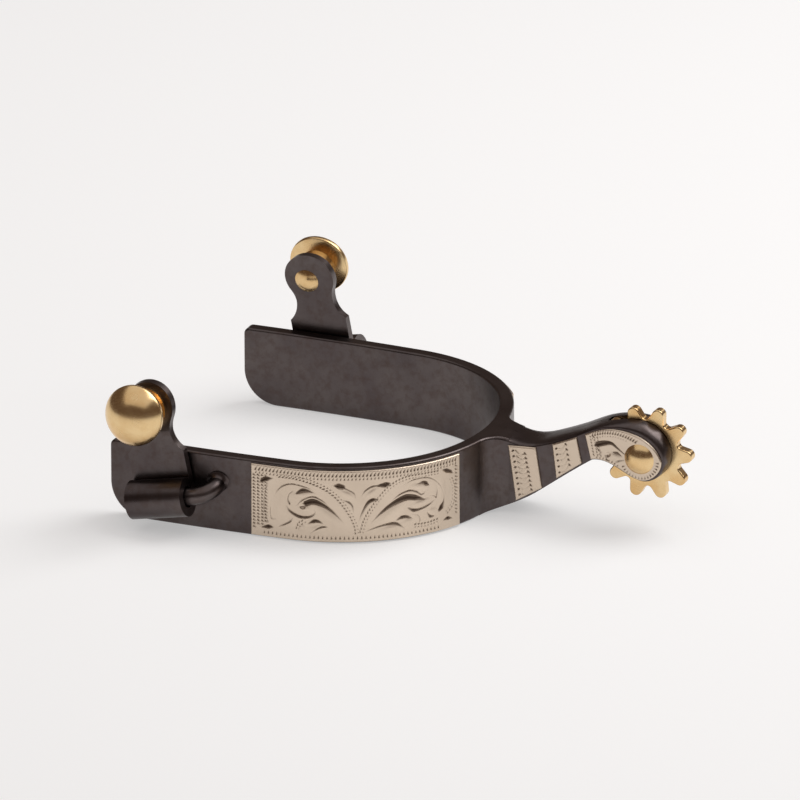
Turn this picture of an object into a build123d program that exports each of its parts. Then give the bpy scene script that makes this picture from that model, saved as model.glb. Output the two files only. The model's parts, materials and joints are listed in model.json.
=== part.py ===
"""A western show spur: a forged heel band and shank, engraved silver overlays, a brass rowel and two
swinging strap hangers with brass buttons.

Lengths are millimetres and angles are degrees. +Z is up, +X runs from the toe ends of the arms towards
the rowel, and left is the -Y side. While the pieces are made, X is measured from the heel's outer face
and Z from the band's bottom edge. At the end the whole spur moves along X, so that its length is centred.
"""

import os
from math import acos, asin, atan2, cos, radians, sin, tan

from build123d import *

# Heel band
BAND_HEIGHT = 20.0
BAND_THICK = 3.6
BAND_ARCS = ((49.0, 19.7), (40.4, 67.4), (568.0, 4.8))  # outer radius and turn, from the heel to the toe
BAND_EDGE_ROUND = 0.6
ARM_TOP_ROUND = 1.6
ARM_BOTTOM_ROUND = 9.0
PLAN_REACH = 60.0  # further than any piece stands from the heel's middle plane
SQUARE_ACROSS = 0.9  # the least Y in the direction of an edge that counts as running across the band
CLEAR_OF_MIDDLE = 0.15  # edges nearer than this to the middle plane join the two halves
MATCH = 0.01

# Shank, in side view: X from the heel's face, Z from the band's bottom edge
SHANK_HALF_WIDTH = 5.4
SHANK_ROOT = -2.0  # the shank starts inside the band
SHANK_LEVEL_END = 1.0  # the top stays level with the band up to here
SHANK_SIDE_TOP = (
    (SHANK_LEVEL_END, 20.0),
    (2.6, 19.7),
    (4.8, 18.9),
    (8.2, 18.2),
    (12.2, 18.7),
    (16.0, 19.9),
    (23.1, 23.0),
    (27.9, 25.5),
    (32.6, 26.7),
    (36.9, 26.5),
    (40.8, 25.3),
    (44.3, 22.8),
    (46.1, 19.6),
    (45.0, 16.1),
    (40.8, 13.7),
)
SHANK_CREST = (
    (SHANK_LEVEL_END, 20.0),
    (2.6, 19.9),
    (4.8, 19.5),
    (8.2, 19.1),
    (12.2, 19.6),
    (16.0, 21.0),
    (23.1, 24.0),
    (27.9, 26.2),
    (32.6, 27.6),
    (36.9, 28.3),
    (41.0, 27.8),
    (45.0, 25.1),
    (46.9, 20.4),
    (45.6, 16.1),
    (40.8, 13.7),
)
SHANK_JAW = ((40.8, 13.7), (36.5, 15.0), (32.6, 16.9), (27.2, 17.5))  # the concave underside of the ears
SHANK_RAMP = ((27.2, 17.5), (20.4, 12.7), (14.9, 8.6), (10.9, 5.7), (6.8, 3.3), (2.8, 1.4), (SHANK_ROOT, 0.0))
CROWN_POWER = 2.6  # roundness of the shank's top from side to side
CROWN_STATIONS = (-1.0, -0.91, -0.72, -0.44, 0.0, 0.44, 0.72, 0.91, 1.0)
FORK_RADIUS = 6.0  # where the shank spreads into the band
FORK_EDGE_ROUND = 0.7

# Rowel and its pin
ROWEL_X, ROWEL_Z = 40.0, 19.65
ROWEL_RADIUS = 12.1
ROWEL_ROOT_RADIUS = 8.75
ROWEL_REST_TURN = 2.0
ROWEL_POINTS = 10
ROWEL_TIP_ROUND = 1.55
ROWEL_VALLEY_ROUND = 1.1
ROWEL_THICK = 2.6
ROWEL_EDGE_ROUND = 0.35
SLOT_WIDTH = 3.0
SLOT_RADIUS = 12.5
GROOVE_START, GROOVE_END = (14.9, 20.7), (29.9, 27.1)
GROOVE_WIDTH, GROOVE_DEPTH = 1.5, 1.2
PIN_RADIUS = 1.6
PIN_RUNNING_GAP = 0.05
PIN_HEAD_RADIUS = 3.9
PIN_HEAD_HEIGHT = 1.8

# Silver overlays
SILVER_THICK = 0.6
PLATE_BOTTOM, PLATE_TOP = 0.4, 19.2
PLATE_START_ANGLES = {"left": 22.0, "right": 33.0}  # seen from the centre of the band's second arc
PLATE_TOE_TURN = 0.95  # how far the plate runs onto the nearly straight arm
STRIP_OUTLINES = {
    "front_strip": ((4.7, 18.1), (12.2, 18.5), (13.8, 8.0), (6.8, 3.7)),
    "rear_strip": ((16.6, 20.1), (23.1, 22.9), (24.5, 16.2), (17.7, 11.2)),
}
EAR_PLATE_TOP = ((25.4, 24.0), (28.0, 25.2), (32.6, 26.4), (36.8, 26.2), (40.6, 25.1), (44.0, 22.7), (45.8, 19.6))
EAR_PLATE_FOOT = ((45.8, 19.6), (44.7, 16.3), (40.8, 14.0), (36.6, 15.3), (32.7, 17.15), (26.9, 17.7))

# Strap hangers. Each swings on a wire staple that slopes up towards the heel.
HINGE_Y = 49.5
HINGES = {  # side: direction in Y, X and Z of the rolled tube's centre, slope of the wire
    "left": (-1, -70.4, 8.6, 11.2),
    "right": (1, -65.8, 12.5, 10.0),
}
REST_SWINGS = {"left": 2.5, "right": 0.0}  # how far each hanger hangs outward from upright
WIRE_RADIUS = 2.1
PEEN_RADIUS, PEEN_HEIGHT = 3.0, 0.9
PEEN_GAP = 0.3
STAPLE_BEND = 5.0
STAPLE_LEG = 7.6
STAPLE_LEG_TILT = 14.0
STAPLE_LEG_PLACES = {"left": 13.8, "right": 13.4}  # along the wire from the tube's centre
WELD_RADIUS, WELD_HEIGHT = 3.1, 1.3
WELD_NECK_RADIUS = 2.0  # just inside the wire
WELD_WAIST = (2.45, 0.52)  # radius and height halfway up the flare
SHEET = 2.2
TUBE_BORE = 2.7
TUBE_RADIUS = TUBE_BORE + SHEET
TUBE_LENGTH = 15.2
ROLL_SEAM = 0.25
SEAM_MIDDLE = 2.95  # height of the seam's middle above the wire
HEAD_HEIGHT = 22.4  # from the wire up to the middle of the round head
RIVET_HEIGHT = 22.1
RIVET_OFFSET = -0.8  # the rivet sits a little towards the toe
HEAD_RADIUS = 6.5
HEAD_LEAVE_ANGLE = -28.0  # where the round head turns into the neck
SHOULDER_HALF_WIDTH = 7.6
SHOULDER_HEIGHT = 11.2
SHEET_BENDS = ((TUBE_RADIUS, 1.6), (16.2, 10.0))  # heights above the wire, and the lean inward above each
BEND_ROUND = 5.0

# Buttons
RIVET_RADIUS = 2.4
RIVET_TAIL_RADIUS = 3.1
RIVET_TAIL_HEIGHT = 1.0
COLLAR_RADIUS = 5.9
COLLAR_HEIGHT = 1.4
BUTTON_NECK_RADIUS = 4.6
BUTTON_NECK_TOP = 5.4
RIM_UNDERSIDE, RIM_HEIGHT = 6.2, 7.2
RIM_RADIUS = 7.7
RIM_EDGE_ROUND = 0.35
DOME_HEIGHT = 4.8


def arc_chain(start, heading, arcs, offset):
    """Tangent arcs, each turning left, moved inward by offset. Heading is the starting direction."""
    edges = []
    direction = Vector(cos(radians(heading)), sin(radians(heading)))
    point = Vector(*start) + Vector(-direction.Y, direction.X) * offset
    for radius, turn in arcs:
        arc = JernArc(point, direction, radius - offset, turn)
        edges.append(arc)
        point, direction = arc @ 1, arc % 1
    return edges


def curved_strap(start, heading, arcs, inner, outer):
    """The plan shape between two offsets of a chain of arcs, with ends square to it."""
    outside = arc_chain(start, heading, arcs, outer)
    inside = arc_chain(start, heading, arcs, inner)
    ends = [Line(outside[0] @ 0, inside[0] @ 0), Line(outside[-1] @ 1, inside[-1] @ 1)]
    return make_face(outside + inside + ends)


def side_view(points):
    """Points in side view, as vectors in the middle plane."""
    return [Vector(x, 0, z) for x, z in points]


def both_halves(solid):
    """A half on one side of the middle plane and its mirror image, as one solid."""
    return solid + mirror(solid, about=Plane.XZ)


def make_band():
    half = extrude(curved_strap((0, 0), 90, BAND_ARCS, BAND_THICK, 0), BAND_HEIGHT)
    toe_edges = half.edges().filter_by(lambda edge: edge.center().X < arm_end().X + BAND_THICK)
    across = toe_edges.filter_by(lambda edge: abs((edge % 0.5).Y) > SQUARE_ACROSS)
    half = fillet(across.sort_by(Axis.Z)[-1:], ARM_TOP_ROUND)
    toe_edges = half.edges().filter_by(lambda edge: edge.center().X < arm_end().X + BAND_THICK)
    across = toe_edges.filter_by(lambda edge: abs((edge % 0.5).Y) > SQUARE_ACROSS)
    half = fillet(across.sort_by(Axis.Z)[:1], ARM_BOTTOM_ROUND)
    away_from_heel = half.edges().filter_by(lambda edge: abs(edge.center().Y) > CLEAR_OF_MIDDLE)
    half = fillet(away_from_heel.filter_by(lambda edge: edge.length > BAND_THICK + MATCH), BAND_EDGE_ROUND)
    return both_halves(half)


def arm_end():
    """The outer corner of the left-hand arm's toe end, in plan."""
    return arc_chain((0, 0), 90, BAND_ARCS, 0)[-1] @ 1


def shank_section(station):
    """The shank's side-view outline at a station across it, from -1 to 1. The crest is at 0."""
    rise = (1 - abs(station) ** CROWN_POWER) ** (1 / CROWN_POWER)
    top = [Vector(*low) + (Vector(*high) - Vector(*low)) * rise for low, high in zip(SHANK_SIDE_TOP, SHANK_CREST)]
    edges = [
        Line(*side_view([(SHANK_ROOT, BAND_HEIGHT), (SHANK_LEVEL_END, BAND_HEIGHT)])),
        Spline(*side_view([(p.X, p.Y) for p in top])),
        Spline(*side_view(SHANK_JAW)),
        Spline(*side_view(SHANK_RAMP)),
        Line(*side_view([SHANK_RAMP[-1], (SHANK_ROOT, BAND_HEIGHT)])),
    ]
    return Pos(0, station * SHANK_HALF_WIDTH, 0) * make_face(edges)


def make_fork():
    """The spread foot that joins the shank to the band."""
    heel_radius = BAND_ARCS[0][0]
    centre_y = SHANK_HALF_WIDTH + FORK_RADIUS
    centre_x = ((heel_radius + FORK_RADIUS) ** 2 - centre_y**2) ** 0.5 - heel_radius
    lean = atan2(centre_y, centre_x + heel_radius)
    touch = (heel_radius * cos(lean) - heel_radius, heel_radius * sin(lean))
    middle_angle = (lean + radians(90)) / 2
    middle = (centre_x - FORK_RADIUS * cos(middle_angle), centre_y - FORK_RADIUS * sin(middle_angle))
    side = (centre_x, SHANK_HALF_WIDTH)
    arc = ThreePointArc(touch, middle, side)
    rest = Polyline(side, (centre_x, 0), (SHANK_ROOT, 0), (SHANK_ROOT, touch[1]), touch)
    plan = extrude(make_face([arc, rest]), 1.5 * BAND_HEIGHT)
    profile = extrude(shank_section(0), PLAN_REACH, both=True)
    half = plan & profile
    brow = half.edges().filter_by(lambda edge: edge.center().Z > BAND_HEIGHT / 2 and edge.geom_type != GeomType.LINE)
    half = fillet(brow.sort_by(Axis.Y)[-1:], FORK_EDGE_ROUND)
    return both_halves(half)


def make_heel_band():
    shank = loft([shank_section(station) for station in CROWN_STATIONS])
    rowel_place = Pos(ROWEL_X, 0, ROWEL_Z) * Rotation(90, 0, 0)
    slot = rowel_place * Cylinder(SLOT_RADIUS, SLOT_WIDTH)
    pin_hole = rowel_place * Cylinder(PIN_RADIUS, 4 * SHANK_HALF_WIDTH)
    return make_band() + make_fork() + shank - slot - make_groove() - pin_hole


def make_groove():
    """The groove that runs out of the slot along the shank's crest."""
    start, end = (Vector(x, 0, z) for x, z in (GROOVE_START, GROOVE_END))
    across = Plane(origin=end, x_dir=(0, 1, 0), z_dir=(end - start))
    half, tall = GROOVE_WIDTH / 2, 2 * GROOVE_DEPTH
    mouth = across * make_face(Polyline((-half, tall), (half, tall), (0, -GROOVE_DEPTH), close=True))
    return loft([mouth.face(), Vertex(*start)])


def make_rowel():
    """Round-ended points and round valleys, joined by the lines that touch both."""
    pitch = radians(360 / ROWEL_POINTS)
    tip = Vector(ROWEL_RADIUS - ROWEL_TIP_ROUND, 0)
    valley_radius = ROWEL_ROOT_RADIUS + ROWEL_VALLEY_ROUND
    valley = Vector(valley_radius * cos(pitch / 2), valley_radius * sin(pitch / 2))
    apart = valley - tip
    normal = atan2(apart.Y, apart.X) - acos((ROWEL_TIP_ROUND + ROWEL_VALLEY_ROUND) / apart.length)
    outward = Vector(cos(normal), sin(normal))
    on_tip = tip + outward * ROWEL_TIP_ROUND
    on_valley = valley - outward * ROWEL_VALLEY_ROUND
    far_side = Vector(on_valley.X, -on_valley.Y).rotate(Axis.Z, 360 / ROWEL_POINTS)
    root = Vector(ROWEL_ROOT_RADIUS * cos(pitch / 2), ROWEL_ROOT_RADIUS * sin(pitch / 2))
    point = [
        ThreePointArc((on_tip.X, -on_tip.Y), (ROWEL_RADIUS, 0), on_tip),
        Line(on_tip, on_valley),
        Line((on_tip.X, -on_tip.Y), (on_valley.X, -on_valley.Y)),
        ThreePointArc(on_valley, root, far_side),
    ]
    outline = [Rotation(0, 0, index * 360 / ROWEL_POINTS) * edge for index in range(ROWEL_POINTS) for edge in point]
    disc = extrude(make_face(Wire(outline)), ROWEL_THICK / 2, both=True)
    rim = disc.faces().sort_by(Axis.Z)
    disc = fillet(rim[0].edges() + rim[-1].edges(), ROWEL_EDGE_ROUND)
    disc -= Cylinder(PIN_RADIUS + PIN_RUNNING_GAP, 2 * ROWEL_THICK)
    return Pos(ROWEL_X, 0, ROWEL_Z) * Rotation(90, 0, 0) * Rotation(0, 0, ROWEL_REST_TURN) * disc


def cap_arc(radius, base, height):
    """The profile of a ball's cap, from its rim to its top on the Y axis. A negative height points down."""
    ball = (radius**2 + height**2) / (2 * abs(height))
    half_angle = asin(min(1.0, radius / ball)) / 2
    side = 1 if height > 0 else -1
    middle = (ball * sin(half_angle), base + height - side * ball * (1 - cos(half_angle)))
    return ThreePointArc((radius, base), middle, (0, base + height))


def make_rowel_pin():
    """A pin with a domed head on each ear."""
    seat = SHANK_HALF_WIDTH + SILVER_THICK
    head = cap_arc(PIN_HEAD_RADIUS, seat, PIN_HEAD_HEIGHT)
    rest = Polyline((PIN_HEAD_RADIUS, seat), (PIN_RADIUS, seat), (PIN_RADIUS, 0), (0, 0), (0, seat + PIN_HEAD_HEIGHT))
    half = revolve(make_face([head, rest]), Axis.Y)
    return Pos(ROWEL_X, 0, ROWEL_Z) * both_halves(half)


def make_band_plate(first_angle):
    """An engraved silver plate that wraps the band's outer face from an angle, on the +Y side."""
    heel_arc, side_arc, arm_arc = BAND_ARCS
    centre = arc_chain((0, 0), 90, BAND_ARCS, 0)[1].arc_center
    start_angle = radians(first_angle)
    start = (centre.X + side_arc[0] * cos(start_angle), centre.Y + side_arc[0] * sin(start_angle))
    side_turn = heel_arc[1] + side_arc[1] - first_angle
    arcs = ((side_arc[0], side_turn), (arm_arc[0], PLATE_TOE_TURN))
    plan = curved_strap(start, 90 + first_angle, arcs, 0, -SILVER_THICK)
    return Pos(0, 0, PLATE_BOTTOM) * extrude(plan, PLATE_TOP - PLATE_BOTTOM)


def on_shank_side(outline):
    """A thin silver plate of a side-view outline, on the shank's +Y side."""
    plate = extrude(outline, SILVER_THICK, dir=(0, 1, 0))
    return Pos(0, SHANK_HALF_WIDTH, 0) * plate


def make_strip(corners):
    return on_shank_side(make_face(Polyline(*side_view(corners), close=True)))


def make_ear_plate():
    """The silver plate round the rowel pin."""
    top, foot = side_view(EAR_PLATE_TOP), side_view(EAR_PLATE_FOOT)
    outline = make_face([Spline(*top), Spline(*foot), Line(foot[-1], top[0])])
    pin_hole = Pos(ROWEL_X, 0, ROWEL_Z) * Rotation(90, 0, 0) * Cylinder(PIN_RADIUS, 4 * SHANK_HALF_WIDTH)
    return on_shank_side(outline) - pin_hole


def at_hinge(side, solid):
    """Puts a hanger's piece, made about the wire with +Y outboard, on its side of the band."""
    direction, x, z, slope = HINGES[side]
    if direction < 0:
        solid = mirror(solid, about=Plane.XZ)
    return Pos(x, direction * HINGE_Y, z) * Rotation(0, -slope, 0) * solid


def make_weld():
    """A flared bead of weld round a leg of the staple, with +Y away from the band."""
    flare = ThreePointArc((WELD_NECK_RADIUS, WELD_HEIGHT), WELD_WAIST, (WELD_RADIUS, 0))
    rest = Polyline(
        (WELD_RADIUS, 0),
        (WELD_RADIUS, -WELD_HEIGHT),
        (0, -WELD_HEIGHT),
        (0, WELD_HEIGHT),
        (WELD_NECK_RADIUS, WELD_HEIGHT),
    )
    return revolve(make_face([flare, rest]), Axis.Y)


def make_staple(side):
    """A wire peened over at its toe end and bent at the other, with a bead of weld round its leg."""
    toe, heel = -TUBE_LENGTH / 2 - PEEN_GAP, STAPLE_LEG_PLACES[side]
    path = FilletPolyline((toe, 0), (heel, 0), (heel, -STAPLE_LEG), radius=STAPLE_BEND)
    wire = sweep(Plane(origin=path @ 0, z_dir=path % 0) * Circle(WIRE_RADIUS), path=path)
    cap = cap_arc(PEEN_RADIUS, 0, PEEN_HEIGHT)
    peen = revolve(make_face([cap, Polyline((PEEN_RADIUS, 0), (0, 0), (0, PEEN_HEIGHT))]), Axis.Y)
    wire += Pos(toe, 0, 0) * Rotation(0, 0, 90) * peen
    reach = (HINGE_Y - abs(arm_end().Y)) / cos(radians(STAPLE_LEG_TILT))
    wire += Pos(heel, -reach, 0) * make_weld()
    return Rotation(-STAPLE_LEG_TILT, 0, 0) * wire


def sheet_line():
    """The outer face of the hanger's sheet in end view, from the wire's level up past the head."""
    line = [(-TUBE_BORE, 0)]
    lean = 0.0
    heights = [height for height, _ in SHEET_BENDS] + [HEAD_HEIGHT + 2 * HEAD_RADIUS]
    leans = [angle for _, angle in SHEET_BENDS] + [0.0]
    for height, next_lean in zip(heights, leans):
        y, z = line[-1]
        line.append((y - (height - z) * tan(radians(lean)), height))
        lean = next_lean
    return line


def make_hanger():
    """A strap hanger about the wire: a rolled tube and a sheet with a round head."""
    outer = sheet_line()
    inner = [(y - SHEET, z) for y, z in outer]
    section = make_face(Polyline([(0, y, z) for y, z in outer + inner[::-1]], close=True))
    bends = section.vertices().filter_by(lambda vertex: MATCH < vertex.Z < HEAD_HEIGHT)
    section = fillet(bends, BEND_ROUND)
    sheet = extrude(section, TUBE_LENGTH / 2, both=True)
    leave = radians(HEAD_LEAVE_ANGLE)
    neck_start = Vector(HEAD_RADIUS * cos(leave), 0, HEAD_HEIGHT + HEAD_RADIUS * sin(leave))
    shoulder = Vector(SHOULDER_HALF_WIDTH, 0, SHOULDER_HEIGHT)
    top = Vector(0, 0, HEAD_HEIGHT + HEAD_RADIUS)
    head = ThreePointArc(top, (HEAD_RADIUS, 0, HEAD_HEIGHT), neck_start)
    neck = TangentArc(neck_start, shoulder, tangent=head % 1)
    base = Polyline(shoulder, (TUBE_LENGTH / 2, 0, TUBE_RADIUS), (TUBE_LENGTH / 2, 0, 0), (0, 0, 0), top)
    outline = extrude(make_face([head, neck, base]), 2 * HINGE_Y, both=True)
    outline += mirror(outline, about=Plane.YZ)
    along = Rotation(0, 90, 0)
    tube = along * Cylinder(TUBE_RADIUS, TUBE_LENGTH)
    bore = along * Cylinder(TUBE_BORE, 2 * TUBE_LENGTH)
    seam = Pos(0, -TUBE_BORE + ROLL_SEAM / 2, SEAM_MIDDLE) * Box(2 * TUBE_LENGTH, ROLL_SEAM, TUBE_RADIUS)
    rivet_hole = rivet_axis() * Rotation(90, 0, 0) * Cylinder(RIVET_RADIUS, 6 * SHEET)
    return (sheet & outline) + tube - bore - seam - rivet_hole


def rivet_axis():
    """The rivet's place on the sheet's outer face, with +Y along it, outboard."""
    _, lean = SHEET_BENDS[-1]
    y, z = sheet_line()[-1]
    foot = (RIVET_OFFSET, y + (z - RIVET_HEIGHT) * tan(radians(lean)), RIVET_HEIGHT)
    return Pos(*foot) * Rotation(lean, 0, 0)


def make_button():
    """A turned brass button: domed head, rim, waist, collar and a rivet peened behind the sheet."""
    dome = cap_arc(RIM_RADIUS, RIM_HEIGHT, DOME_HEIGHT)
    peened = cap_arc(RIVET_TAIL_RADIUS, -SHEET, -RIVET_TAIL_HEIGHT)
    waist = Polyline(
        (RIM_RADIUS, RIM_HEIGHT),
        (RIM_RADIUS, RIM_UNDERSIDE),
        (BUTTON_NECK_RADIUS, BUTTON_NECK_TOP),
        (BUTTON_NECK_RADIUS, COLLAR_HEIGHT),
        (COLLAR_RADIUS, COLLAR_HEIGHT),
        (COLLAR_RADIUS, 0),
        (RIVET_RADIUS, 0),
        (RIVET_RADIUS, -SHEET),
        (RIVET_TAIL_RADIUS, -SHEET),
    )
    axis = Line(peened @ 1, dome @ 1)
    button = revolve(make_face([dome, waist, peened, axis]), Axis.Y)
    rim = button.edges().filter_by(GeomType.CIRCLE).filter_by(lambda edge: abs(edge.radius - RIM_RADIUS) < MATCH)
    return rivet_axis() * fillet(rim, RIM_EDGE_ROUND)


def make_spur():
    """Every piece by node name, in place about the heel."""
    heel_band = make_heel_band()
    pieces = {"heel_band": heel_band, "rowel": make_rowel(), "rowel_pin": make_rowel_pin()}
    overlays = {"ear_plate": make_ear_plate()}
    overlays.update({name: make_strip(corners) for name, corners in STRIP_OUTLINES.items()})
    for name, overlay in overlays.items():
        pieces[f"right_{name}"] = overlay
        pieces[f"left_{name}"] = mirror(overlay, about=Plane.XZ)
    pieces["right_band_plate"] = make_band_plate(PLATE_START_ANGLES["right"])
    pieces["left_band_plate"] = mirror(make_band_plate(PLATE_START_ANGLES["left"]), about=Plane.XZ)
    for side in HINGES:
        pieces[f"{side}_staple"] = at_hinge(side, make_staple(side)) - heel_band
        swing = Rotation(-REST_SWINGS[side], 0, 0)
        pieces[f"{side}_hanger"] = at_hinge(side, swing * make_hanger())
        pieces[f"{side}_button"] = at_hinge(side, swing * make_button())
    return pieces


os.makedirs("parts", exist_ok=True)
centre_shift = -(arm_end().X + ROWEL_X + ROWEL_RADIUS) / 2
for name, solid in make_spur().items():
    export_step(Pos(centre_shift, 0, 0) * solid, f"parts/{name}.step")
print("length shift", round(centre_shift, 4))
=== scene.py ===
"""The looks of a western show spur: browned steel, hand-engraved silver overlays and polished brass.

Lengths in the shapes are millimetres in the row frame, and MM turns them into metres.
"""

import json
import math

import bmesh
import bpy
import numpy as np
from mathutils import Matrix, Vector
from mathutils.geometry import delaunay_2d_cdt, interpolate_bezier


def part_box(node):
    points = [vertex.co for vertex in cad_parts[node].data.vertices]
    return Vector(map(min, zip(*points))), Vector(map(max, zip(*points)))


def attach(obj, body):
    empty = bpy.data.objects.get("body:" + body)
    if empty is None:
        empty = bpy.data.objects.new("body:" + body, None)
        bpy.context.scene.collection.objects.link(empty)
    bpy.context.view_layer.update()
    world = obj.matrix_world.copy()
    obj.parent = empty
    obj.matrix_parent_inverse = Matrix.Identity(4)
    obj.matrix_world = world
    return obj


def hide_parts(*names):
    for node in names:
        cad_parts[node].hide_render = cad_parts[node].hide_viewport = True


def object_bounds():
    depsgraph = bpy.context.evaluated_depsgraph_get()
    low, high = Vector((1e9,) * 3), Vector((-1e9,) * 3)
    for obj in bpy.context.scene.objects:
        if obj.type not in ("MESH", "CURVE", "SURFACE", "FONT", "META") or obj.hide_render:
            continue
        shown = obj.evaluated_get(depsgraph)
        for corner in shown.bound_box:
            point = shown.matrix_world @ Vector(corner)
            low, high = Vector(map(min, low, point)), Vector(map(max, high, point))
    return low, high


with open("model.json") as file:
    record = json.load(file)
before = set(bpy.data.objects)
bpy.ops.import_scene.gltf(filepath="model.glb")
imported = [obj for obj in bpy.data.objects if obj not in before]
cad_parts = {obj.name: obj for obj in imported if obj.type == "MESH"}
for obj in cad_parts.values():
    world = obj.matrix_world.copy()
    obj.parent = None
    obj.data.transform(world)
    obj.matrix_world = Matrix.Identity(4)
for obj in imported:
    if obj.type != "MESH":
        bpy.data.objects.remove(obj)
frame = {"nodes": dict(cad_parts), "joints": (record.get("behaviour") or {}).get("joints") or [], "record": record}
cad_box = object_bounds()

MM = 0.001
SIDES = {"left": -1, "right": 1}

# Camera, as a long lens far from the spur
CAMERA_AZIMUTH, CAMERA_ELEVATION, CAMERA_ROLL = 22.89, 21.04, -0.19
CAMERA_DISTANCE = 5.05
CAMERA_FIELD = 0.1991
AIM = (-0.00951, -0.00011, 0.02353)

# The outer face of the band in plan, as in the CAD model: radius and turn from the heel to the toe
BAND_ARCS = ((49.0, 19.7), (40.4, 67.4), (568.0, 4.8))
PLATE_START_ANGLES = {"left": 22.0, "right": 33.0}
PLATE_TOE_TURN = 0.95
SILVER_THICK = 0.6
HEEL_TO_ROWEL = 40.0
SHANK_HALF_WIDTH = 5.4

# Engraved surfaces
GRID_STEP = 0.15
EDGE_ROUND = 0.3
CUT_SLOPE = 0.85
DEEPEST_CUT = 0.42

rowel_joint = next(joint for joint in frame["joints"] if joint["name"] == "rowel_spin")
HEEL_X = rowel_joint["pos_m"][0] / MM - HEEL_TO_ROWEL


# ---------------------------------------------------------------- materials


class Nodes:
    """A material's node tree, with one call for each node."""

    def __init__(self, name):
        self.material = bpy.data.materials.new(name)
        self.material.use_nodes = True
        self.tree = self.material.node_tree
        self.shader = self.tree.nodes["Principled BSDF"]
        self.place = self.add("ShaderNodeTexCoord").outputs["Object"]

    def add(self, kind, inputs=None, **settings):
        node = self.tree.nodes.new(kind)
        for key, value in settings.items():
            setattr(node, key, value)
        for key, value in (inputs or {}).items():
            self.feed(node.inputs[key], value)
        return node

    def feed(self, socket, value):
        if isinstance(value, bpy.types.NodeSocket):
            self.tree.links.new(value, socket)
        else:
            socket.default_value = value

    def noise(self, scale, detail=3.0, roughness=0.5, place=None):
        inputs = {"Vector": place or self.place, "Scale": scale, "Detail": detail, "Roughness": roughness}
        return self.add("ShaderNodeTexNoise", inputs).outputs["Fac"]

    def stretched(self, scale):
        return self.add("ShaderNodeMapping", {"Vector": self.place, "Scale": scale}).outputs["Vector"]

    def between(self, value, low, high, out_low=0.0, out_high=1.0):
        inputs = {"Value": value, "From Min": low, "From Max": high, "To Min": out_low, "To Max": out_high}
        return self.add("ShaderNodeMapRange", inputs).outputs["Result"]

    def math(self, operation, first, second):
        return self.add("ShaderNodeMath", {0: first, 1: second}, operation=operation).outputs["Value"]

    def blend(self, factor, first, second):
        node = self.add("ShaderNodeMix", data_type="RGBA")
        for key, value in ((0, factor), (6, first), (7, second)):
            self.feed(node.inputs[key], value)
        return node.outputs[2]

    def bump(self, height, distance, strength=1.0, normal=None):
        inputs = {"Height": height, "Distance": distance, "Strength": strength}
        if normal is not None:
            inputs["Normal"] = normal
        return self.add("ShaderNodeBump", inputs).outputs["Normal"]

    def finish(self, **inputs):
        for key, value in inputs.items():
            self.feed(self.shader.inputs[key.replace("_", " ")], value)
        return self.material


def rgb(red, green, blue):
    """A linear colour from 0 to 255 display values."""
    def linear(value):
        value /= 255
        return value / 12.92 if value <= 0.04045 else ((value + 0.055) / 1.055) ** 2.4

    return linear(red), linear(green), linear(blue), 1.0


def browned_steel():
    """Forged steel with an antique brown oxide, a little cloudy and handled."""
    n = Nodes("browned_steel")
    clouds = n.noise(55, 5, 0.6)
    mottle = n.noise(420, 4, 0.65)
    colour = n.blend(n.between(clouds, 0.35, 0.68), rgb(81, 73, 73), rgb(99, 91, 89))
    colour = n.blend(n.between(mottle, 0.45, 0.75, 0, 0.5), colour, rgb(74, 57, 50))
    rough = n.math("ADD", n.between(clouds, 0.3, 0.7, 0.27, 0.36), n.between(mottle, 0.3, 0.7, -0.03, 0.05))
    forged = n.bump(n.noise(160, 3, 0.5), 0.00006, 0.5)
    grain = n.bump(n.noise(2600, 2, 0.5), 0.000006, 0.6, forged)
    return n.finish(Base_Color=colour, Metallic=1.0, Roughness=rough, Normal=grain)


def engraved_silver():
    """Nickel silver: satin ground, brighter cut walls, and oxide left in the deep cuts."""
    n = Nodes("engraved_silver")
    cut = n.add("ShaderNodeAttribute", attribute_name="cut").outputs["Fac"]
    clouds = n.noise(70, 4, 0.6)
    ground = n.blend(n.between(clouds, 0.35, 0.7), rgb(207, 190, 171), rgb(220, 203, 184))
    stain = n.math("MULTIPLY", n.between(cut, 0.06, 0.5), n.between(clouds, 0.2, 0.75, 1.0, 0.8))
    colour = n.blend(stain, ground, rgb(78, 60, 47))
    rough = n.math("ADD", n.between(clouds, 0.3, 0.7, 0.30, 0.38), n.between(cut, 0.1, 0.8, 0.0, 0.12))
    brushed = n.noise(900, 3, 0.6, n.stretched((1.0, 1.0, 0.25)))
    return n.finish(Base_Color=colour, Metallic=1.0, Roughness=rough, Normal=n.bump(brushed, 0.00001, 0.5))


def brass():
    """Polished brass with a thin lacquer and faint tarnish."""
    n = Nodes("brass")
    tarnish = n.noise(120, 5, 0.6)
    colour = n.blend(n.between(tarnish, 0.4, 0.72), rgb(232, 203, 154), rgb(216, 174, 116))
    rough = n.between(n.noise(260, 4, 0.6), 0.3, 0.7, 0.20, 0.29)
    fine = n.bump(n.noise(900, 3, 0.5), 0.000012, 0.5)
    return n.finish(Base_Color=colour, Metallic=1.0, Roughness=rough, Normal=fine)


# ---------------------------------------------------------------- engraving


def curve(points, steps=6):
    """A smooth line through a few points."""
    line = [Vector((*point, 0.0)) for point in points]
    ends = [2 * line[0] - line[1], *line, 2 * line[-1] - line[-2]]
    smooth = []
    for before, start, end, after in zip(ends, ends[1:], ends[2:], ends[3:]):
        handle_a, handle_b = start + (end - before) / 6, end - (after - start) / 6
        smooth += interpolate_bezier(start, handle_a, handle_b, end, steps + 1)[:-1]
    smooth.append(line[-1])
    return np.array([(p.x, p.y) for p in smooth])


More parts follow.
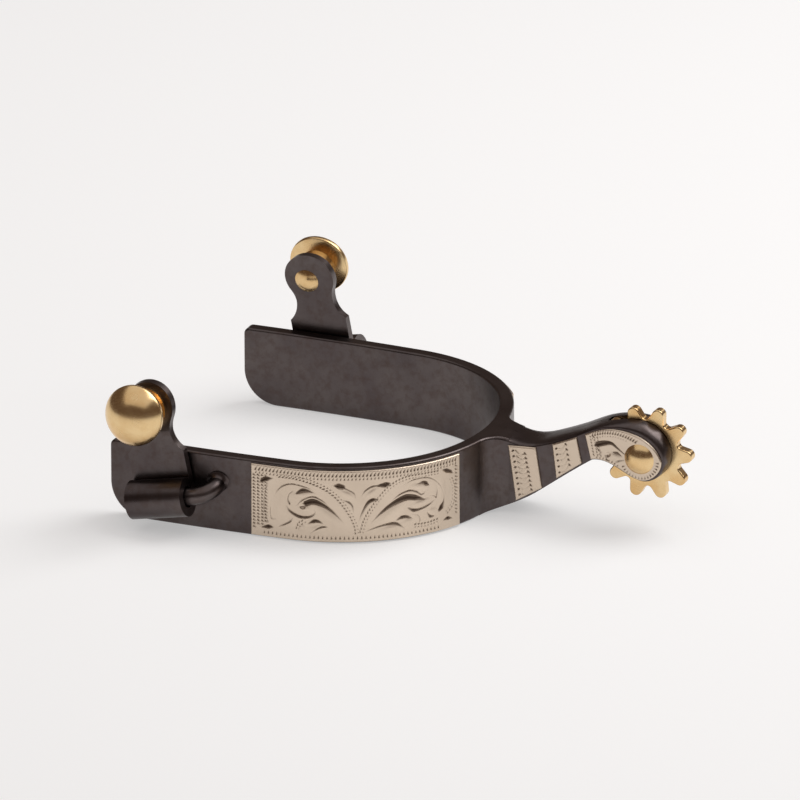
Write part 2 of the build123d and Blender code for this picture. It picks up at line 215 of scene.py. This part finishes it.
class Relief:
    """Depths cut into a flat layout of points, in millimetres."""

    def __init__(self, points):
        self.points = points
        self.cut = np.zeros(len(points))
        self.raise_ = np.zeros(len(points))

    def stroke(self, points, widths, bevel=1.0, slope=CUT_SLOPE):
        """A graver's cut through the points. Above 1, bevel widens the cut on its right-hand side."""
        line = curve(points)
        half = np.interp(np.linspace(0, 1, len(line)), np.linspace(0, 1, len(widths)), widths) / 2
        reach = half.max() * max(1.0, bevel) + 0.05
        near = np.all((self.points > line.min(0) - reach) & (self.points < line.max(0) + reach), axis=1)
        place = self.points[near]
        deepest = np.zeros(len(place))
        for start, end, half_a, half_b in zip(line, line[1:], half, half[1:]):
            along = end - start
            share = np.clip(((place - start) @ along) / max(along @ along, 1e-9), 0, 1)
            away = place - start - share[:, None] * along
            width = half_a + (half_b - half_a) * share
            right = away[:, 0] * along[1] - away[:, 1] * along[0] > 0
            spread = np.where(right, width * bevel, width)
            depth = slope * width * (1 - np.hypot(away[:, 0], away[:, 1]) / np.maximum(spread, 1e-6))
            deepest = np.maximum(deepest, depth)
        self.cut[near] = np.maximum(self.cut[near], np.minimum(deepest, DEEPEST_CUT))

    def row(self, points, spacing, size, turn=90.0, slope=CUT_SLOPE):
        """Wedge cuts along a line. Turn is each wedge's direction from the line's own."""
        line = curve(points)
        steps = np.hypot(*np.diff(line, axis=0).T)
        run = np.concatenate([[0], np.cumsum(steps)])
        length, width = size
        for distance in np.arange(spacing / 2, run[-1], spacing):
            at = np.array([np.interp(distance, run, line[:, axis]) for axis in (0, 1)])
            ahead = np.array([np.interp(min(distance + 0.1, run[-1]), run, line[:, axis]) for axis in (0, 1)])
            behind = np.array([np.interp(max(distance - 0.1, 0), run, line[:, axis]) for axis in (0, 1)])
            heading = math.atan2(*(ahead - behind)[::-1]) + math.radians(turn)
            reach = length / 2 * np.array([math.cos(heading), math.sin(heading)])
            self.stroke([at - reach, at + reach], [width, width / 3], slope=slope)

    def dome(self, centre, radii, height, lean=0.0):
        """A soft raised oval, or a hollow if the height is negative."""
        turn = math.radians(lean)
        away = self.points - np.array(centre)
        across = away @ np.array([math.cos(turn), math.sin(turn)]) / radii[0]
        up = away @ np.array([-math.sin(turn), math.cos(turn)]) / radii[1]
        self.raise_ += height * np.clip(1 - across**2 - up**2, 0, 1) ** 2

    def height(self, edge_distance):
        """Height above the plain face, with the outline's edge rounded over."""
        inward = np.clip(edge_distance, 0, EDGE_ROUND)
        rounding = EDGE_ROUND - np.sqrt(EDGE_ROUND**2 - (EDGE_ROUND - inward) ** 2)
        return self.raise_ - self.cut - rounding


SCROLL_STROKES = (
    # left scroll
    (((14.2, 10.2), (16.3, 10.9), (19.0, 9.9), (21.5, 8.0), (24.3, 4.9)), (1.0, 1.15, 0.7, 0.45, 0.1)),
    (((12.0, 9.3), (13.6, 10.9), (16.2, 12.0), (18.6, 11.0), (20.4, 9.4)), (0.15, 0.4, 0.45, 0.4, 0.2)),
    (((12.2, 12.8), (13.6, 13.6), (15.2, 13.5), (17.0, 12.9)), (0.5, 0.85, 0.5, 0.1)),
    (((11.4, 13.3), (10.2, 12.1), (9.8, 10.6), (10.3, 9.6)), (0.2, 0.35, 0.4, 0.5)),
    (((9.4, 8.9), (10.4, 7.7), (12.9, 6.5), (15.2, 6.6), (16.7, 7.6), (16.5, 9.0)), (0.2, 0.5, 0.65, 0.5, 0.3, 0.1)),
    (((14.8, 4.7), (16.4, 5.6), (17.6, 5.6), (19.0, 4.9)), (0.15, 0.75, 0.6, 0.1)),
    (((15.6, 2.1), (17.2, 3.5), (18.7, 4.15), (20.3, 4.1)), (0.2, 0.4, 0.45, 0.1)),
    (((7.2, 3.1), (9.0, 4.0), (10.4, 4.9), (11.3, 6.1)), (0.15, 0.45, 0.5, 0.1)),
    (((6.3, 11.2), (7.2, 12.9), (8.8, 14.3), (11.2, 14.9), (14.6, 14.3), (17.2, 13.2)), (0.1, 0.35, 0.4, 0.3, 0.35, 0.1)),
    (((5.3, 10.2), (5.1, 7.3), (5.4, 5.2), (6.8, 5.1)), (0.1, 0.25, 0.35, 0.15)),
    # right scroll
    (((30.6, 4.9), (33.0, 7.4), (36.0, 9.6), (39.5, 11.0), (42.2, 10.6), (44.8, 9.6)), (0.1, 0.45, 0.8, 1.2, 1.15, 0.2)),
    (((35.8, 10.3), (38.0, 11.8), (40.6, 12.5), (42.6, 11.9), (44.1, 10.9), (45.7, 11.8)), (0.1, 0.4, 0.45, 0.5, 0.35, 0.1)),
    (((42.8, 14.0), (44.5, 14.1), (45.4, 13.7), (46.0, 13.2)), (0.1, 0.6, 0.9, 0.4)),
    (((46.2, 10.2), (47.6, 9.8), (48.2, 9.3), (48.6, 10.6), (48.5, 12.2)), (0.1, 0.3, 0.4, 0.35, 0.1)),
    (((40.3, 8.0), (41.8, 7.2), (43.8, 7.2), (46.0, 7.8), (47.9, 8.9)), (0.3, 0.7, 0.45, 0.4, 0.15)),
    (((49.1, 5.7), (49.8, 6.5), (50.5, 7.6), (50.8, 9.4)), (0.6, 1.0, 0.5, 0.1)),
    (((45.7, 5.7), (46.5, 4.7), (47.7, 4.5)), (0.3, 0.65, 0.2)),
    (((37.0, 5.1), (38.7, 5.8), (40.2, 5.7), (41.6, 5.0)), (0.15, 0.7, 0.55, 0.1)),
    (((29.0, 2.7), (32.0, 3.8), (35.4, 4.45), (37.5, 4.2), (39.7, 2.3)), (0.1, 0.35, 0.5, 0.55, 0.15)),
    (((38.6, 14.0), (42.0, 15.2), (46.2, 14.9), (49.3, 12.4), (50.8, 9.0)), (0.1, 0.3, 0.35, 0.3, 0.1)),
    (((41.2, 6.1), (42.9, 5.6), (43.6, 4.2), (42.9, 2.7)), (0.1, 0.3, 0.35, 0.15)),
    # middle stems and buds
    (((27.0, 11.6), (26.5, 13.0), (25.2, 13.9), (23.6, 14.7)), (0.15, 0.4, 0.35, 0.35)),
    (((23.6, 14.6), (22.7, 14.8), (21.4, 15.2)), (1.0, 1.15, 0.2)),
    (((26.3, 7.8), (26.1, 9.5), (25.2, 10.7), (23.2, 11.5)), (0.1, 0.5, 0.5, 0.1)),
    (((28.3, 12.2), (29.2, 13.6), (30.8, 14.6), (32.6, 14.9)), (0.15, 0.4, 0.45, 0.35)),
    (((32.2, 14.8), (34.4, 15.0), (35.5, 15.1)), (0.35, 1.1, 0.5)),
    (((27.4, 5.0), (28.5, 8.0), (29.8, 10.4), (31.2, 11.2), (33.0, 11.0)), (0.1, 0.45, 0.65, 0.75, 0.15)),
    # corners
    (((2.9, 15.0), (3.9, 15.5), (5.9, 15.8)), (0.9, 1.05, 0.15)),
    (((2.5, 2.4), (4.6, 2.9), (6.0, 2.8)), (0.15, 0.9, 0.2)),
    (((49.9, 16.1), (51.6, 15.7), (53.1, 15.0)), (0.1, 0.9, 0.7)),
    (((50.3, 2.6), (51.9, 3.0), (53.5, 2.5)), (0.15, 0.75, 0.15)),
)
BEADED_LINES = (
    ((26.7, 2.2), (26.3, 4.6), (24.6, 8.2), (21.4, 12.3), (17.4, 14.8), (12.0, 16.2), (6.6, 16.3)),
    ((27.8, 2.6), (29.0, 6.4), (31.8, 10.8), (35.2, 14.4), (39.4, 16.3), (44.6, 16.4), (49.4, 16.2)),
    ((4.4, 14.2), (3.6, 10.2), (3.7, 6.6), (4.6, 4.0)),
    ((53.4, 13.4), (54.4, 10.2), (53.9, 6.4), (51.6, 3.9)),
    ((11.8, 3.2), (12.6, 4.9), (14.2, 5.9)),
    ((42.0, 3.4), (45.4, 3.2), (49.2, 3.6)),
)
LEAF_DOMES = (  # centre, radii, height, lean
    ((19.6, 6.9), (6.4, 1.9), 0.20, -40),
    ((13.4, 12.0), (3.4, 1.3), 0.16, 8),
    ((14.3, 8.4), (2.6, 1.9), 0.22, 0),
    ((13.7, 9.2), (0.95, 0.8), -0.38, 0),
    ((17.6, 3.3), (4.0, 1.4), 0.14, 12),
    ((13.3, 3.4), (1.4, 1.3), 0.14, 0),
    ((7.6, 8.2), (2.0, 4.6), 0.12, 0),
    ((24.8, 12.6), (2.4, 1.0), 0.14, -30),
    ((30.9, 12.8), (2.4, 1.0), 0.14, 35),
    ((36.6, 7.3), (6.8, 2.1), 0.20, 36),
    ((43.6, 12.9), (3.2, 1.3), 0.16, -10),
    ((44.2, 8.6), (3.4, 1.2), 0.18, 8),
    ((36.0, 2.9), (5.2, 1.3), 0.14, 10),
    ((40.3, 4.1), (1.8, 1.3), 0.14, 0),
    ((47.2, 5.8), (1.6, 1.2), 0.14, 0),
    ((49.9, 10.8), (1.6, 4.0), 0.12, 0),
)


def engrave_band_plate(relief, width, height):
    """Scroll leaves that grow both ways from the middle of the bottom edge, inside a border of wedge cuts."""
    for points, widths in SCROLL_STROKES:
        relief.stroke(points, widths, bevel=1.9 if max(widths) > 0.5 else 1.3)
    for centre, radii, rise, lean in LEAF_DOMES:
        relief.dome(centre, radii, rise, lean)
    for line in BEADED_LINES:
        relief.row(line, 0.9, (0.62, 0.5), 25)
        beside = np.array(line, float)
        run = np.gradient(beside, axis=0)
        beside += 0.75 * np.stack([run[:, 1], -run[:, 0]], 1) / np.hypot(*run.T)[:, None]
        relief.row(beside, 0.9, (0.5, 0.38), 25)
    low, high, near, far = 1.4, height - 0.72, 1.0, width - 1.1
    relief.row(((near, high), (width / 2, high), (far, high)), 0.95, (1.15, 0.62), 62)
    relief.row(((near, high - 1.05), (width / 2, high - 1.05), (far, high - 1.05)), 0.95, (0.75, 0.48), 62)
    relief.row(((3.0, low), (width / 2, low), (far - 6, low)), 1.08, (0.62, 0.56), 90)
    for column, drop in ((1.1, 0.0), (2.2, 0.3), (3.3, 0.9), (4.2, 1.8)):
        upright = ((column, high - 1.6), (column, height / 2), (column, low + 0.6 + drop))
        relief.row(upright, 0.86, (0.95, 0.52), 65)
    relief.row(((far, high - 1.6), (far, height / 2), (far, low + 2)), 0.95, (0.95, 0.5), 70)


def engrave_strip(relief, left_column, right_column, ticks):
    """Two columns of wedge cuts, joined by fine curved lines."""
    for first, last, lean in ((*left_column, 25), (*right_column, -25)):
        places = np.linspace(first, last, ticks)
        for x, z in places:
            reach = 0.34 * np.array([math.cos(math.radians(lean)), math.sin(math.radians(lean))])
            relief.stroke([np.array((x, z)) - reach, np.array((x, z)) + reach], [0.6, 0.15])
    starts = np.linspace(*left_column, ticks)
    ends = np.linspace(*right_column, ticks)
    for start, end in zip(starts, ends):
        middle = (start + end) / 2 + np.array((0.0, -0.45))
        relief.stroke([start + (0.5, 0.1), middle, end - (0.4, 0.1)], [0.28, 0.2, 0.28])
        relief.stroke([start + (0.4, -0.5), middle + (0, -0.4), end - (0.6, 0.5)], [0.12, 0.18, 0.12])
    relief.row((starts[0] - (0.75, 0), (starts[0] + starts[-1]) / 2 - (0.75, 0), starts[-1] - (0.75, 0)),
               0.62, (0.3, 0.18), 0)


def engrave_ear(relief, pin, leaf):
    """A leaf that grows out from under the pin's head, inside a border of wedge cuts."""
    x, z = leaf
    strokes = (
        (((-11.8, 2.1), (-10.0, 2.7), (-8.0, 2.85), (-6.4, 1.8), (-4.2, 0.2)), (1.25, 1.15, 0.7, 0.45, 0.2)),
        (((-7.4, 0.6), (-6.4, 0.5), (-5.2, -0.2)), (0.3, 0.5, 0.1)),
        (((-7.3, -2.2), (-6.1, -1.7), (-4.6, -1.2)), (0.15, 0.45, 0.25)),
        (((-11.9, 1.1), (-11.1, 0.3), (-10.4, 0.0)), (0.35, 0.4, 0.1)),
        (((-11.4, -0.7), (-10.9, -0.2), (-10.4, 0.0)), (0.3, 0.35, 0.1)),
        (((-9.7, -0.3), (-9.3, -1.6), (-8.6, -1.9)), (0.2, 0.45, 0.2)),
    )
    for points, widths in strokes:
        relief.stroke([(x + a, z + b) for a, b in points], widths, bevel=1.6)
    relief.dome((x - 8.9, z - 0.4), (1.1, 0.9), -0.3, 30)
    relief.dome((x - 6.8, z - 0.8), (2.6, 1.3), 0.18, -12)
    top = [(x + a, z + b) for a, b in ((-13.4, 4.5), (-10.0, 5.6), (-6.8, 5.85), (-3.4, 5.2), (-0.6, 4.0))]
    relief.row(top, 0.72, (1.1, 0.56), 70)
    relief.row([(a, b - 1.05) for a, b in top[:4]], 0.72, (0.55, 0.34), 70)
    for column in (0.0, 1.0, 1.9):
        line = [(x + a + column, z + b) for a, b in ((-13.6, 3.9), (-13.1, 1.4), (-12.6, -1.2))]
        relief.row(line, 0.78, (0.72, 0.42), 20)
    foot = [(x + a, z + b) for a, b in ((-12.3, -1.3), (-9.6, -1.5), (-7.6, -2.0), (-6.0, -3.0))]
    relief.row(foot, 0.85, (0.6, 0.48), 80)
    rim_angles = np.radians(np.arange(205, 372, 12))
    around = [(pin[0] + 4.7 * math.cos(a), pin[1] + 4.7 * math.sin(a)) for a in rim_angles]
    relief.row(around, 0.8, (0.85, 0.46), 90)


# ---------------------------------------------------------------- overlay meshes


def new_piece(name, vertices, faces, cut):
    """A mesh object with smooth faces, sharp edges and the depth of the engraving on its vertices."""
    mesh = bpy.data.meshes.new(name)
    mesh.from_pydata([tuple(v) for v in vertices], [], faces)
    mesh.validate()
    mesh.shade_smooth()
    mesh.set_sharp_from_angle(angle=math.radians(50))
    depth = mesh.attributes.new("cut", "FLOAT", "POINT")
    depth.data.foreach_set("value", cut.astype(np.float32))
    piece = bpy.data.objects.new(name, mesh)
    bpy.context.scene.collection.objects.link(piece)
    return piece


def overlay(name, node, points, faces, border, back_faces, place, relief, edge_distance, material):
    """A closed silver plate: its engraved front, a plain back and the wall between their borders."""
    height = SILVER_THICK + relief.height(edge_distance)
    front = place(points, height)
    back = place(points[border], np.zeros(len(border)))
    first_back = len(points)
    vertices = np.concatenate([front, back])
    count = len(border)
    walls = [
        (border[i], first_back + i, first_back + (i + 1) % count, border[(i + 1) % count]) for i in range(count)
    ]
    closing = [tuple(first_back + i for i in face) for face in back_faces]
    cut = np.concatenate([np.clip(relief.cut / DEEPEST_CUT, 0, 1), np.zeros(count)])
    piece = new_piece(name, vertices * MM, [*faces, *walls, *closing], cut)
    face_outward(piece)
    piece.data.materials.append(material)
    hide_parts(node)
    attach(piece, "spur_frame")
    return piece


def face_outward(piece):
    """Turns the faces so that the closed mesh has a positive volume."""
    shell = bmesh.new()
    shell.from_mesh(piece.data)
    bmesh.ops.recalc_face_normals(shell, faces=shell.faces)
    shell.to_mesh(piece.data)
    shell.free()


def rectangle_grid(width, height):
    """Points, faces, border and back faces of a rectangle."""
    columns, rows = round(width / GRID_STEP), round(height / GRID_STEP)
    u, v = np.meshgrid(np.linspace(0, width, columns + 1), np.linspace(0, height, rows + 1), indexing="ij")
    points = np.stack([u.ravel(), v.ravel()], 1)
    at = lambda i, j: i * (rows + 1) + j
    faces = [
        (at(i, j), at(i + 1, j), at(i + 1, j + 1), at(i, j + 1)) for i in range(columns) for j in range(rows)
    ]
    bottom = [at(i, 0) for i in range(columns)]
    right = [at(columns, j) for j in range(rows)]
    top = [at(i, rows) for i in range(columns, 0, -1)]
    left = [at(0, j) for j in range(rows, 0, -1)]
    border = bottom + right + top + left
    place = {vertex: index for index, vertex in enumerate(border)}
    back = []
    for i in range(columns):
        face = [place[at(i, 0)], place[at(i + 1, 0)]]
        if i == columns - 1:
            face += [place[at(columns, j)] for j in range(1, rows)]
        face += [place[at(i + 1, rows)], place[at(i, rows)]]
        if i == 0:
            face += [place[at(0, j)] for j in range(rows - 1, 0, -1)]
        back.append(face)
    edge = np.minimum.reduce([points[:, 0], width - points[:, 0], points[:, 1], height - points[:, 1]])
    return points, faces, border, back, edge


def outline_grid(outline):
    """Points, faces, border and back face of a closed outline."""
    outline = np.array(outline)
    closed = np.vstack([outline, outline[:1]])
    fine = []
    for start, end in zip(closed, closed[1:]):
        count = max(1, round(np.hypot(*(end - start)) / GRID_STEP))
        fine += [start + (end - start) * i / count for i in range(count)]
    fine = np.array(fine)
    low, high = fine.min(0), fine.max(0)
    u, v = np.meshgrid(
        np.arange(low[0], high[0], GRID_STEP), np.arange(low[1], high[1], GRID_STEP), indexing="ij"
    )
    inner = np.stack([u.ravel(), v.ravel()], 1)
    inner = inner[inside(inner, fine) & (distance_to(inner, fine) > 0.6 * GRID_STEP)]
    every = [Vector(p) for p in np.vstack([fine, inner])]
    rim = [(i, (i + 1) % len(fine)) for i in range(len(fine))]
    points, _, faces, *_ = delaunay_2d_cdt(every, rim, [], 1, 1e-6)
    points = np.array([(p.x, p.y) for p in points])
    border = list(range(len(fine)))
    return points, [tuple(f) for f in faces], border, [border], distance_to(points, fine)


def inside(points, outline):
    """Which points are inside a closed outline, by counting crossings."""
    found = np.zeros(len(points), bool)
    for (x1, z1), (x2, z2) in zip(outline, np.roll(outline, -1, axis=0)):
        crosses = (z1 > points[:, 1]) != (z2 > points[:, 1])
        if z1 != z2:
            found ^= crosses & (points[:, 0] < (x2 - x1) * (points[:, 1] - z1) / (z2 - z1) + x1)
    return found


def distance_to(points, outline):
    """Each point's distance to a closed outline."""
    nearest = np.full(len(points), np.inf)
    for start, end in zip(outline, np.roll(outline, -1, axis=0)):
        along = end - start
        share = np.clip(((points - start) @ along) / max(along @ along, 1e-12), 0, 1)
        away = points - start - share[:, None] * along
        nearest = np.minimum(nearest, np.hypot(away[:, 0], away[:, 1]))
    return nearest


def band_arc_centres():
    """Centres of the band's outer arcs in plan, and the heading at the start of each, on the +Y side."""
    point, heading, found = np.zeros(2), math.radians(90), []
    for radius, turn in BAND_ARCS:
        normal = np.array([-math.sin(heading), math.cos(heading)])
        centre = point + radius * normal
        found.append((centre, heading))
        heading += math.radians(turn)
        point = centre + radius * np.array([math.sin(heading), -math.cos(heading)])
    return found


def band_plates(material):
    _, (side_centre, _), (arm_centre, arm_heading) = band_arc_centres()
    side_radius, arm_radius = BAND_ARCS[1][0] + SILVER_THICK, BAND_ARCS[2][0] + SILVER_THICK
    side_end = arm_heading - math.radians(90)
    side_runs = {
        side: side_radius * (side_end - math.radians(angle)) for side, angle in PLATE_START_ANGLES.items()
    }
    arm_run = arm_radius * math.radians(PLATE_TOE_TURN)
    low, high = (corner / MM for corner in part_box("left_band_plate"))
    width, height = side_runs["left"] + arm_run, high.z - low.z
    grid = rectangle_grid(width, height)
    relief = Relief(grid[0])
    engrave_band_plate(relief, width, height)
    for side, direction in SIDES.items():
        start, side_run = math.radians(PLATE_START_ANGLES[side]), side_runs[side]
        stretch = (side_run + arm_run) / width

        def place(points, out):
            """From along the plate from its toe end, up it and out of it, to the row frame."""
            run = (width - points[:, 0]) * stretch
            on_arm = run > side_run
            angle = np.where(on_arm, side_end + (run - side_run) / arm_radius, start + run / side_radius)
            centre = np.where(on_arm[:, None], arm_centre, side_centre)
            radius = np.where(on_arm, BAND_ARCS[2][0], BAND_ARCS[1][0]) + out
            x = HEEL_X + centre[:, 0] + radius * np.cos(angle)
            y = direction * (centre[:, 1] + radius * np.sin(angle))
            return np.stack([x, y, low.z + points[:, 1]], 1)

        overlay(f"{side}_engraved_plate", f"{side}_band_plate", *grid[:4], place, relief, grid[4], material)


def node_outline(node):
    """The side-view outline of a flat overlay's outer face, in order, measured from the heel."""
    mesh = frame["nodes"][node].data
    outer = max(abs(v.co.y) for v in mesh.vertices)
    on_face = lambda v: abs(abs(mesh.vertices[v].co.y) - outer) < 1e-6
    keys = {}
    for polygon in mesh.polygons:
        if all(on_face(v) for v in polygon.vertices):
            places = [mesh.vertices[v].co for v in polygon.vertices]
            corners = [(round(place.x, 7), round(place.z, 7)) for place in places]
            for a, b in zip(corners, corners[1:] + corners[:1]):
                keys[a, b] = keys.get((a, b), 0) + 1
    rim = {a: b for a, b in keys if (b, a) not in keys}
    loops = []
    while rim:
        loop, at = [], min(rim)
        while at in rim:
            loop.append(at)
            at = rim.pop(at)
        loops.append(np.array(loop) / MM - (HEEL_X, 0))
    return max(loops, key=lambda loop: np.ptp(loop[:, 0]))


def flat_overlays(material):
    x = HEEL_TO_ROWEL
    z = rowel_joint["pos_m"][2] / MM
    engravings = {
        "front_strip": lambda r: engrave_strip(r, ((6.3, 17.1), (8.1, 5.7)), ((9.5, 16.6), (11.3, 7.3)), 9),
        "rear_strip": lambda r: engrave_strip(r, ((18.0, 19.4), (18.9, 13.2)), ((20.5, 20.7), (21.5, 15.4)), 5),
        "ear_plate": lambda r: engrave_ear(r, (x, z), (x + 0.54, z + 0.43)),
    }
    for name, engrave in engravings.items():
        grid = outline_grid(node_outline(f"left_{name}"))
        relief = Relief(grid[0])
        engrave(relief)
        for side, direction in SIDES.items():
            def place(points, out):
                y = direction * (SHANK_HALF_WIDTH + out)
                return np.stack([HEEL_X + points[:, 0], y, points[:, 1]], 1)

            overlay(f"{side}_engraved_{name}", f"{side}_{name}", *grid[:4], place, relief, grid[4], material)


# ---------------------------------------------------------------- turned brass


def clean_turning(node, body):
    """A turned piece with its shape kept and one vertex at each pole, so that the poles reflect cleanly."""
    mesh = frame["nodes"][node].data.copy()
    shell = bmesh.new()
    shell.from_mesh(mesh)
    bmesh.ops.remove_doubles(shell, verts=shell.verts, dist=0.01 * MM)
    bmesh.ops.dissolve_degenerate(shell, edges=shell.edges, dist=0.01 * MM)
    bmesh.ops.recalc_face_normals(shell, faces=shell.faces)
    shell.to_mesh(mesh)
    shell.free()
    for name in ("custom_normal", "sharp_edge", "sharp_face"):
        if name in mesh.attributes:
            mesh.attributes.remove(mesh.attributes[name])
    mesh.shade_smooth()
    mesh.set_sharp_from_angle(angle=math.radians(35))
    piece = bpy.data.objects.new(f"{node}_turned", mesh)
    piece.matrix_world = frame["nodes"][node].matrix_world.copy()
    bpy.context.scene.collection.objects.link(piece)
    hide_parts(node)
    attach(piece, body)


# ---------------------------------------------------------------- stage


def look_at(thing, target):
    thing.rotation_euler = (Vector(target) - thing.location).to_track_quat("-Z", "Y").to_euler()


def add_camera():
    data = bpy.data.cameras.new("camera")
    data.lens = data.sensor_width * CAMERA_DISTANCE / CAMERA_FIELD
    data.clip_start, data.clip_end = 0.1, 50
    camera = bpy.data.objects.new("camera", data)
    azimuth, elevation = math.radians(CAMERA_AZIMUTH), math.radians(CAMERA_ELEVATION)
    flat = math.cos(elevation)
    back = Vector((math.sin(azimuth) * flat, -math.cos(azimuth) * flat, math.sin(elevation)))
    camera.location = Vector(AIM) + CAMERA_DISTANCE * back
    look_at(camera, AIM)
    camera.rotation_euler.rotate_axis("Z", math.radians(CAMERA_ROLL))
    bpy.context.scene.collection.objects.link(camera)
    bpy.context.scene.camera = camera


def add_light(name, location, size, energy):
    data = bpy.data.lights.new(name, "AREA")
    data.shape = "RECTANGLE"
    data.size, data.size_y = size
    data.energy = energy
    light = bpy.data.objects.new(name, data)
    light.location = location
    look_at(light, (0, 0, 0))
    bpy.context.scene.collection.objects.link(light)


FLOOR_REACH = 6.0
FLOOR_DROP = 0.0001  # below the lowest point of the part
FLOOR_FINISH = {
    "Base_Color": (0.6, 0.6, 0.6, 1),
    "Roughness": 0.9,
    "Specular_IOR_Level": 0.1,
    "Emission_Color": (1, 1, 1, 1),
    "Emission_Strength": 0.42,
}
WORLD_COLOUR = (0.115, 0.082, 0.068, 1)
LIGHTS = {  # name: place, size, energy
    "key": ((0.41, 0.41, 0.70), (0.7, 0.7), 5.0),
    "overhead": ((0.0, -0.1, 1.4), (2.6, 2.6), 13.5),
}


def add_floor():
    mesh = bpy.data.meshes.new("floor")
    low, high = -FLOOR_REACH, FLOOR_REACH
    mesh.from_pydata([(low, low, 0), (high, low, 0), (high, high, 0), (low, high, 0)], [], [(0, 1, 2, 3)])
    floor = bpy.data.objects.new("floor", mesh)
    floor.location.z = cad_box[0].z - FLOOR_DROP
    n = Nodes("floor")
    floor.data.materials.append(n.finish(**FLOOR_FINISH))
    bpy.context.scene.collection.objects.link(floor)


def add_stage():
    scene = bpy.context.scene
    scene.view_settings.view_transform = "Standard"
    world = bpy.data.worlds.new("studio")
    world.use_nodes = True
    background = world.node_tree.nodes["Background"]
    background.inputs["Color"].default_value = WORLD_COLOUR
    scene.world = world
    add_floor()
    for name, (place, size, energy) in LIGHTS.items():
        add_light(name, place, size, energy)


add_camera()
add_stage()
steel, silver, gold = browned_steel(), engraved_silver(), brass()
finishes = {"browned_steel": steel, "engraved_silver": silver, "brass": gold}
for subpart in frame["record"]["subparts"]:
    mesh = frame["nodes"][subpart["node"]].data
    mesh.materials.clear()
    mesh.materials.append(finishes[subpart["material_slot"]])
band_plates(silver)
flat_overlays(silver)
for node, body in (("left_button", "left_hanger"), ("right_button", "right_hanger"), ("rowel_pin", "spur_frame")):
    clean_turning(node, body)
